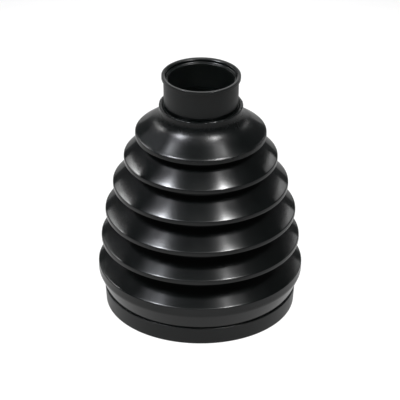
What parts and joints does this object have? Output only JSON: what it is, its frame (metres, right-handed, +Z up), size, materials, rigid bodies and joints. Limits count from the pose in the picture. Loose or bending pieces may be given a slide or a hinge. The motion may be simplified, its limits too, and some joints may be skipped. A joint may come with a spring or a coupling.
{
  "type": "rubber bellows boot",
  "caption": "Black rubber bellows boot that flares from a plain collar down over stepped conical folds to a wide clamp cuff, open right through.",
  "frame": {"origin": "centre of the bottom face of the large end", "axes": "+Z up along the axis of revolution, from the large end to the small end; the boot is the same all the way round, so +X and +Y are free"},
  "size_m": [0.0932, 0.0932, 0.1139],
  "materials": {
    "rubber": "glossy moulded black rubber"
  },
  "bodies": {
    "root": {"bellows_boot": "rubber"}
  },
  "joints": []
}
